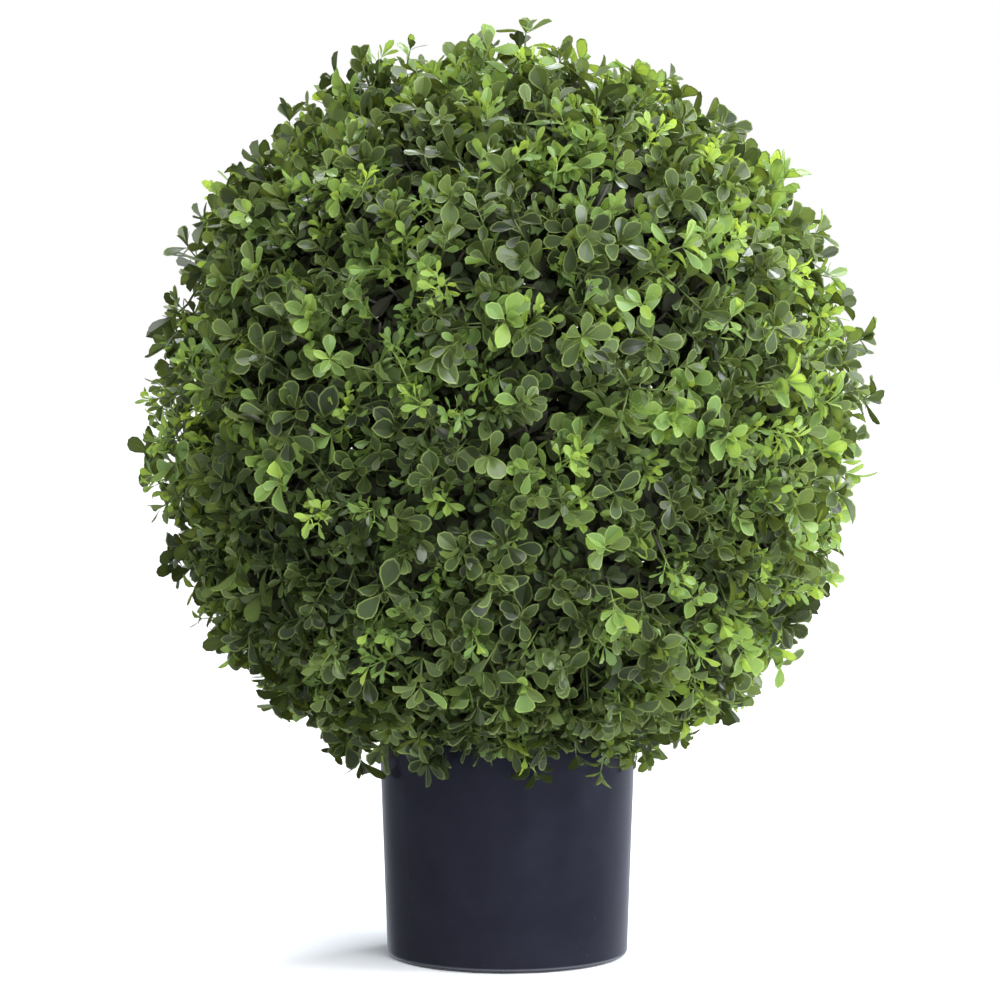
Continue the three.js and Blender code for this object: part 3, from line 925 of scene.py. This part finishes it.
class LeafPattern:
    """A leaf's corners as (along, across, height share, raised mm), with its blade and its paler margin.

    Its outline is given as (along, half width) from root to tip, and its midrib has a corner at each rib.
    """

    def __init__(self, outline, ribs=(), margin=0):
        self.corners, self.blade, self.rim = [], [], []
        # the blade is folded along its midrib
        self.midrib = [self._corner(along, 0, 0) for along in (0, *ribs, 1)]
        for sign in (-1, 1):
            edge = [self._corner(along, sign * half, half) for along, half in outline]
            self.blade += [side[::sign] for side in bridged(edge, self.midrib)]
        if margin:
            self._add_margin(outline, margin)

    def _corner(self, along, across, edge, raised=0):
        self.corners.append((along, across, edge, raised))
        return len(self.corners) - 1

    def _add_margin(self, outline, margin):
        """A raised band along the outline, high at its outer edge, and a thin midrib."""
        for sign in (-1, 1):
            outer = [self._corner(0, 0, 0, MARGIN_RISE)]
            inner = [self._corner(MARGIN_START, 0, 0, MARGIN_RISE / 2)]
            for along, half in outline:
                within = max(half - margin, 0)
                back = MARGIN_DRAWN_BACK if along > MARGIN_BACK_FROM else 0
                outer.append(self._corner(along, sign * half, half, MARGIN_RISE))
                inner.append(self._corner(along - back, sign * within, within, MARGIN_RISE / 2))
            outer.append(self._corner(1, 0, 0, MARGIN_RISE))
            inner.append(self._corner(1 - margin * MARGIN_TIP, 0, 0, MARGIN_RISE / 2))
            left, right = (outer, inner) if sign < 0 else (inner, outer)
            for k in range(len(left) - 1):
                self.rim += [(left[k], right[k], left[k + 1]), (right[k], right[k + 1], left[k + 1])]
        sides = (-MIDRIB_HALF_WIDTH, MIDRIB_HALF_WIDTH)
        ends = [self._corner(outline[0][0], place, 0, MARGIN_RISE / 2) for place in sides]
        self.rim.append((*ends, self._corner(MIDRIB_END, 0, 0, MARGIN_RISE / 2)))


BROAD = LeafPattern(
    ((0.17, 0.06), (0.37, 0.24), (0.57, 0.43), (0.76, 0.5), (0.93, 0.33)), ribs=(0.37, 0.57, 0.76), margin=0.07
)
MIDDLING = LeafPattern(((0.22, 0.08), (0.48, 0.36), (0.73, 0.5), (0.92, 0.33)), ribs=(0.48, 0.73), margin=0.078)
SMALL = LeafPattern(((0.35, 0.2), (0.65, 0.49), (0.88, 0.38)), ribs=(0.65,))
INNER = LeafPattern(((0.45, 0.4), (0.78, 0.48)))


def placed_leaves(pattern, triangles, rows):
    """Points and faces of one pattern laid at every leaf of an array."""
    corners = np.array(pattern.corners)
    used = np.unique(np.array(triangles))
    renumber = np.zeros(len(corners), dtype=int)
    renumber[used] = np.arange(len(used))
    faces = renumber[np.array(triangles)]
    along_share, across_share, edge, raised = corners[used].T
    root, along, up = rows[:, 0:3], rows[:, 3:6], rows[:, 6:9]
    length, width, cup, droop = (rows[:, i : i + 1] for i in (9, 10, 11, 12))
    across = np.cross(up, along)
    height = cup * width * edge - droop * length * along_share**2 + raised
    points = (
        root[:, None, :]
        + along[:, None, :] * (length * along_share)[:, :, None]
        + across[:, None, :] * (width * across_share)[:, :, None]
        + up[:, None, :] * height[:, :, None]
    )
    offsets = np.arange(len(rows)) * len(used)
    return points.reshape(-1, 3) * MM, (faces[None, :, :] + offsets[:, None, None]).reshape(-1, 3)


def placed_stalks(stalks, sides):
    """Points and triangles of tapering stalks, closed at both ends."""
    ways = np.array([[list(point) for point in points] for points, _ in stalks])
    radii = np.array([radii for _, radii in stalks])
    count, rings = radii.shape
    along = ways[:, -1] - ways[:, 0]
    along /= np.linalg.norm(along, axis=1, keepdims=True)
    helper = np.where(np.abs(along[:, 2:3]) < 0.9, np.array([[0.0, 0, 1]]), np.array([[1.0, 0, 0]]))
    u = np.cross(helper, along)
    u /= np.linalg.norm(u, axis=1, keepdims=True)
    v = np.cross(along, u)
    turns = np.arange(sides) * FULL_TURN / sides
    spokes = u[:, None, :] * np.cos(turns)[None, :, None] + v[:, None, :] * np.sin(turns)[None, :, None]
    points = ways[:, :, None, :] + spokes[:, None, :, :] * radii[:, :, None, None]
    faces = []
    for ring in range(rings - 1):
        for side in range(sides):
            a, b = ring * sides + side, ring * sides + (side + 1) % sides
            faces += [(a, b, b + sides), (a, b + sides, a + sides)]
    last = (rings - 1) * sides
    for side in range(1, sides - 1):
        faces += [(0, side + 1, side), (last, last + side, last + side + 1)]
    offsets = np.arange(count) * rings * sides
    return points.reshape(-1, 3) * MM, (np.array(faces)[None] + offsets[:, None, None]).reshape(-1, 3)


# Making pieces


def deselect_all():
    for other in bpy.context.selected_objects:
        other.select_set(False)
    bpy.context.view_layer.objects.active = None


def select_only(piece):
    deselect_all()
    piece.select_set(True)
    bpy.context.view_layer.objects.active = piece


def start_editing(piece):
    select_only(piece)
    bpy.ops.object.mode_set(mode="EDIT")
    bpy.ops.mesh.select_all(action="DESELECT")


def stop_editing():
    bpy.ops.object.mode_set(mode="OBJECT")


def select_parts(piece, mode, wanted):
    """Selects the faces or the edges that pass a test, and stops the script if there are none."""
    bpy.ops.mesh.select_mode(type=mode)
    shape = bmesh.from_edit_mesh(piece.data)
    found = 0
    for part in shape.faces if mode == "FACE" else shape.edges:
        chosen = wanted(part)
        part.select_set(chosen)
        found += chosen
    if mode == "FACE":
        shape.select_flush_mode()
    bmesh.update_edit_mesh(piece.data)
    if not found:
        raise RuntimeError(f"no {mode.lower()} of {piece.name} was found to shape")


def upward(face):
    return face.normal.z > 0.9


def downward(face):
    return face.normal.z < -0.9


def level_at(height, beyond=0):
    """A test for the edges that lie level at a height, further out than a radius."""
    return lambda edge: all(abs(end.co.z - height) < TOUCH and end.co.xy.length > beyond for end in edge.verts)


def new_cylinder(name, radius, low, high, sides):
    deselect_all()
    bpy.ops.mesh.primitive_cylinder_add(
        vertices=sides, radius=radius, depth=high - low, end_fill_type="NGON", location=(0, 0, (low + high) / 2)
    )
    piece = bpy.context.object
    piece.name = piece.data.name = name
    bpy.ops.object.transform_apply(location=True, rotation=True, scale=True)
    return piece


def scale_selected(factor):
    bpy.ops.transform.resize(value=(factor, factor, 1))


def lift_selected(height):
    bpy.ops.mesh.extrude_region_move(TRANSFORM_OT_translate={"value": (0, 0, height)})


def smooth(piece, angle):
    select_only(piece)
    bpy.ops.object.shade_smooth_by_angle(angle=math.radians(angle))


def finish_piece(piece, material, node):
    """Gives a piece its material, puts it on the body and hides the solid that it stands for."""
    piece.data.materials.clear()
    piece.data.materials.append(material)
    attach(piece, "root")
    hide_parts(node)


class TOPIARY_OT_pot(bpy.types.Operator):
    """Models the tapered pot, with its rounded foot, plain rim and hollow inside"""

    bl_idname = "topiary.pot"
    bl_label = "Pot"

    def execute(self, context):
        settings = context.scene.topiary_pot
        foot, rim, height = settings.foot_radius, POT_HIGH.x, POT_HIGH.z
        pot = new_cylinder("pot_body", foot, 0, height, sides=160)
        start_editing(pot)
        select_parts(pot, "FACE", upward)
        scale_selected(rim / foot)
        bpy.ops.mesh.inset(thickness=settings.wall)
        lift_selected(POT_FLOOR - height)
        inner_foot = foot + (rim - foot) * POT_FLOOR / height - settings.wall
        scale_selected(inner_foot / (rim - settings.wall))
        # the underside is drawn in a little, so that the pot stands on a narrow ring
        select_parts(pot, "FACE", downward)
        bpy.ops.mesh.inset(thickness=FOOT_RING)
        lift_selected(FOOT_HOLLOW)
        select_parts(pot, "EDGE", level_at(0, foot - MM))
        bpy.ops.mesh.bevel(offset=settings.edge_radius, segments=5, affect="EDGES")
        select_parts(pot, "EDGE", level_at(height))
        bpy.ops.mesh.bevel(offset=RIM_ROUNDING, segments=3, affect="EDGES")
        stop_editing()
        smooth(pot, angle=40)
        finish_piece(pot, moulded_polypropylene(settings), "pot")
        return {"FINISHED"}


class TOPIARY_OT_filling(bpy.types.Operator):
    """Models the cast mortar in the pot, slightly domed, with a socket for the stem"""

    bl_idname = "topiary.filling"
    bl_label = "Pot filling"

    def execute(self, context):
        shoulder_z = FILLING_HIGH.z - FILLING_DOME
        filling = new_cylinder("mortar_filling", FILLING_HIGH.x, FILLING_LOW.z, shoulder_z, sides=96)
        start_editing(filling)
        select_parts(filling, "FACE", downward)
        scale_selected(FILLING_TAPER)
        select_parts(filling, "FACE", upward)
        for inset, lift in DOME_STEPS:
            bpy.ops.mesh.inset(thickness=inset * MM)
            bpy.ops.transform.translate(value=(0, 0, lift * MM))
        bpy.ops.mesh.inset(thickness=SOCKET_INSET)
        lift_selected(STEM_LOW.z - SOCKET_GAP - FILLING_HIGH.z)
        bpy.ops.mesh.select_all(action="DESELECT")
        select_parts(filling, "EDGE", level_at(shoulder_z))
        bpy.ops.mesh.bevel(offset=FILLING_ROUNDING, segments=3, affect="EDGES")
        stop_editing()
        smooth(filling, angle=40)
        finish_piece(filling, cast_mortar(), "pot_filling")
        return {"FINISHED"}


def bark_relief(turn, z):
    """How far the bark lies below the stem's own outline, in mm: furrows along it, and small knots."""
    furrow = math.sin(9 * turn + 1.3 * math.sin(z / 17)) + 0.6 * math.sin(17 * turn - z / 11)
    knot_turn = math.sin(z // KNOT_EVERY) * 2
    away = math.hypot((turn - knot_turn) * KNOT_RADIUS, (z % KNOT_EVERY) - KNOT_EVERY / 2)
    return FURROW_BASE - FURROW_DEPTH * furrow - KNOT_HEIGHT * max(0, 1 - away / KNOT_RADIUS)


class TOPIARY_OT_stem(bpy.types.Operator):
    """Models the short stem, tapered, with its bark in relief"""

    bl_idname = "topiary.stem"
    bl_label = "Stem"

    def execute(self, context):
        low, high = STEM_LOW.z, STEM_HIGH.z
        stem = new_cylinder("bark_stem", STEM_HIGH.x, low, high, sides=40)
        start_editing(stem)
        select_parts(stem, "FACE", upward)
        scale_selected(STEM_TAPER)
        bpy.ops.mesh.bevel(offset=MM, segments=2, affect="EDGES")
        bpy.ops.mesh.select_all(action="DESELECT")
        # only the edges that run up its side are this long
        long = (high - low) * 0.8
        select_parts(stem, "EDGE", lambda edge: abs(edge.verts[0].co.z - edge.verts[1].co.z) > long)
        bpy.ops.mesh.subdivide(number_cuts=STEM_RINGS)
        stop_editing()
        # the bark, which leaves the two ends as they are
        for corner in stem.data.vertices:
            place = corner.co
            radius = place.xy.length
            if radius > 5 * MM and low + MM < place.z < high - 1.2 * MM:
                depth = bark_relief(math.atan2(place.y, place.x), place.z / MM)
                scale = min(1 - depth * MM / radius, 1)
                place.x *= scale
                place.y *= scale
        smooth(stem, angle=50)
        finish_piece(stem, natural_bark(), "stem")
        return {"FINISHED"}


def leaf_piece(name, pattern, triangles, rows, material):
    """One piece of like leaves, smooth on either side of the midrib and creased along it."""
    points, faces = placed_leaves(pattern, triangles, rows)
    piece = mesh_from_arrays(name, points, faces)
    piece.data.polygons.foreach_set("use_smooth", np.ones(len(faces), dtype=bool))
    on_midrib = np.tile(np.isin(np.unique(np.array(triangles)), pattern.midrib), len(rows))
    ends = np.empty(len(piece.data.edges) * 2, dtype=np.int32)
    piece.data.edges.foreach_get("vertices", ends)
    creased = on_midrib[ends].reshape(-1, 2).all(axis=1)
    piece.data.attributes.new("sharp_edge", "BOOLEAN", "EDGE").data.foreach_set("value", creased)
    finish_piece(piece, material, "foliage_ball")


def leaf_rows(growth, kind, tint):
    return np.array([row[:-1] for row in growth.leaves[kind] if row[-1] == tint])


def tint_colours(settings, tint):
    """A tint's blade and margin colours, the colour and share of the light that comes through, and the sheen."""
    blade = getattr(settings, TINT_NAMES[tint])
    margin, through = mixed_hex(blade, *MARGIN_MIX), mixed_hex(blade, *THROUGH_MIX)
    return blade, margin, through, THROUGH_SHARES[tint], SHEENS[tint]


class TOPIARY_OT_boughs(bpy.types.Operator):
    """Grows the boughs from the stem's head, the twigs from them and the stalks of the new growth"""

    bl_idname = "topiary.boughs"
    bl_label = "Boughs and stalks"

    def execute(self, context):
        growth = grown_foliage(context)
        new_green = mixed_hex(context.scene.topiary_foliage.lime, *NEW_STALK_MIX)
        for kind, name, sides, colour in (
            ("bough", "boughs", 4, "#423d37"),
            ("stalk", "stalks", 3, "#5b6b3a"),
            ("new_stalk", "new_stalks", 3, new_green),
        ):
            piece = mesh_from_arrays(name, *placed_stalks(growth.stalks[kind], sides))
            finish_piece(piece, moulded_stalk("moulded_" + kind, colour), "foliage_ball")
        return {"FINISHED"}


class TOPIARY_OT_inner_leaves(bpy.types.Operator):
    """Fills the shaded inside of the ball with leaves whose dark colours are painted shade, larger further in"""

    bl_idname = "topiary.inner_leaves"
    bl_label = "Inner leaves"

    def execute(self, context):
        growth, settings = grown_foliage(context), context.scene.topiary_foliage
        # painted shade: the inner leaves take the dark shade tint, and the under leaves a darker, greyer copy of the
        # deep tint
        blade, _, through, share, sheen = tint_colours(settings, SHADE)
        material = moulded_leaf("moulded_leaf_shade", blade, through, share, sheen, roughness=0.75)
        leaf_piece("inner_leaves", INNER, INNER.blade, leaf_rows(growth, "inner", SHADE), material)
        blade, _, through, share, _ = tint_colours(settings, DEEP)
        painted_shade_blade = mixed_hex(blade, *UNDER_PAINTED_SHADE_MIX)
        material = moulded_leaf("moulded_leaf_under_painted_shade", painted_shade_blade, through, share, SHEENS[SHADE], roughness=0.45)
        leaf_piece("under_leaves", SMALL, SMALL.blade, leaf_rows(growth, "under", DEEP), material)
        return {"FINISHED"}


class TOPIARY_OT_outer_leaves(bpy.types.Operator):
    """Grows the broad, middling and small leaves, each tint apart, with their paler margins"""

    bl_idname = "topiary.outer_leaves"
    bl_label = "Outer leaves"

    def execute(self, context):
        growth, settings = grown_foliage(context), context.scene.topiary_foliage
        for tint in (DARK, DEEP, MIDDLE, FRESH, LIME):
            word = TINT_NAMES[tint]
            blade, margin, through, share, sheen = tint_colours(settings, tint)
            blade_plastic = moulded_leaf("moulded_leaf_" + word, blade, through, share, sheen)
            paler = mixed_hex(through, 0.3)
            margin_plastic = moulded_leaf("moulded_margin_" + word, margin, paler, share, MARGIN_SHEEN)
            for kind, pattern in (("broad", BROAD), ("middling", MIDDLING), ("small", SMALL)):
                rows = leaf_rows(growth, kind, tint)
                if not len(rows):
                    continue
                leaf_piece(f"{kind}_leaves_{word}", pattern, pattern.blade, rows, blade_plastic)
                if pattern.rim:
                    leaf_piece(f"{kind}_margins_{word}", pattern, pattern.rim, rows, margin_plastic)
        return {"FINISHED"}


def add_light(name, kind, place, target, power, **qualities):
    lamp = bpy.data.lights.new(name, kind)
    lamp.energy = power
    for quality, value in qualities.items():
        setattr(lamp, quality, value)
    holder = bpy.data.objects.new(name, lamp)
    bpy.context.scene.collection.objects.link(holder)
    holder.location = place
    holder.rotation_euler = (Vector(target) - Vector(place)).to_track_quat("-Z", "Y").to_euler()
    holder.visible_camera = False
    holder.visible_glossy = name not in UNMIRRORED


class TOPIARY_OT_studio(bpy.types.Operator):
    """Sets up the pale floor, the white surroundings, the soft lights and the camera"""

    bl_idname = "topiary.studio"
    bl_label = "Studio"

    def execute(self, context):
        scene = context.scene
        settings = scene.topiary_studio
        scene.view_settings.view_transform = "Standard"
        scene.world = white_surroundings(settings)

        deselect_all()
        bpy.ops.mesh.primitive_grid_add(x_subdivisions=8, y_subdivisions=8, size=30, location=(0, 0, -MM / 2))
        floor = context.object
        floor.name = floor.data.name = "floor"
        bpy.ops.object.transform_apply(location=True, rotation=True, scale=True)
        floor.data.materials.append(matt_paper(settings.floor_colour))
        # glossy leaves and the pot mirror the surroundings, not the bright floor
        floor.visible_glossy = False

        add_light("overhead", "SUN", OVERHEAD_FROM, (0, 0, 0), settings.overhead, angle=OVERHEAD_WIDE)
        for name, place, target, (width, height), share in PANELS:
            size = {"shape": "RECTANGLE", "size": width, "size_y": height}
            add_light(name, "AREA", place, target, settings.front * share, color=COOL_PANEL, **size)
        for name, place, radius, cone, share in LAMPS:
            beam = {"shadow_soft_size": radius, "spot_size": math.radians(cone), "spot_blend": 0.4}
            add_light(name, "SPOT", place, BALL_MIDDLE, settings.behind * share, color=COOL_LAMP, **beam)

        lens = bpy.data.cameras.new("camera")
        lens.sensor_width = SENSOR_WIDTH
        lens.lens = SENSOR_WIDTH * settings.camera_distance / settings.frame_width
        camera = bpy.data.objects.new("camera", lens)
        scene.collection.objects.link(camera)
        camera.location = (CAMERA_X, -settings.camera_distance, settings.camera_height)
        camera.rotation_euler = (math.pi / 2 - CAMERA_PITCH, 0, 0)
        scene.camera = camera
        return {"FINISHED"}


class TOPIARY_PT_panel(bpy.types.Panel):
    bl_idname = "TOPIARY_PT_panel"
    bl_label = "Box Topiary Ball"
    bl_space_type = "VIEW_3D"
    bl_region_type = "UI"
    bl_category = "Topiary"

    def draw(self, context):
        scene = context.scene
        foliage_steps = ("topiary.boughs", "topiary.inner_leaves", "topiary.outer_leaves")
        for title, settings, operators in (
            ("Pot", scene.topiary_pot, ("topiary.pot", "topiary.filling", "topiary.stem")),
            ("Foliage", scene.topiary_foliage, foliage_steps),
            ("Studio", scene.topiary_studio, ("topiary.studio",)),
        ):
            box = self.layout.box()
            box.label(text=title)
            for name in settings.bl_rna.properties.keys():
                if name not in ("rna_type", "name"):
                    box.prop(settings, name)
            for operator in operators:
                box.operator(operator)


CLASSES = (
    PotSettings,
    FoliageSettings,
    StudioSettings,
    TOPIARY_OT_pot,
    TOPIARY_OT_filling,
    TOPIARY_OT_stem,
    TOPIARY_OT_boughs,
    TOPIARY_OT_inner_leaves,
    TOPIARY_OT_outer_leaves,
    TOPIARY_OT_studio,
    TOPIARY_PT_panel,
)


def register():
    for cls in CLASSES:
        bpy.utils.register_class(cls)
    bpy.types.Scene.topiary_pot = PointerProperty(type=PotSettings)
    bpy.types.Scene.topiary_foliage = PointerProperty(type=FoliageSettings)
    bpy.types.Scene.topiary_studio = PointerProperty(type=StudioSettings)


def unregister():
    del bpy.types.Scene.topiary_studio
    del bpy.types.Scene.topiary_foliage
    del bpy.types.Scene.topiary_pot
    for cls in reversed(CLASSES):
        bpy.utils.unregister_class(cls)


def main():
    register()
    bpy.ops.topiary.studio()
    bpy.ops.topiary.pot()
    bpy.ops.topiary.filling()
    bpy.ops.topiary.stem()
    bpy.ops.topiary.boughs()
    bpy.ops.topiary.inner_leaves()
    bpy.ops.topiary.outer_leaves()


if __name__ == "__main__":
    main()
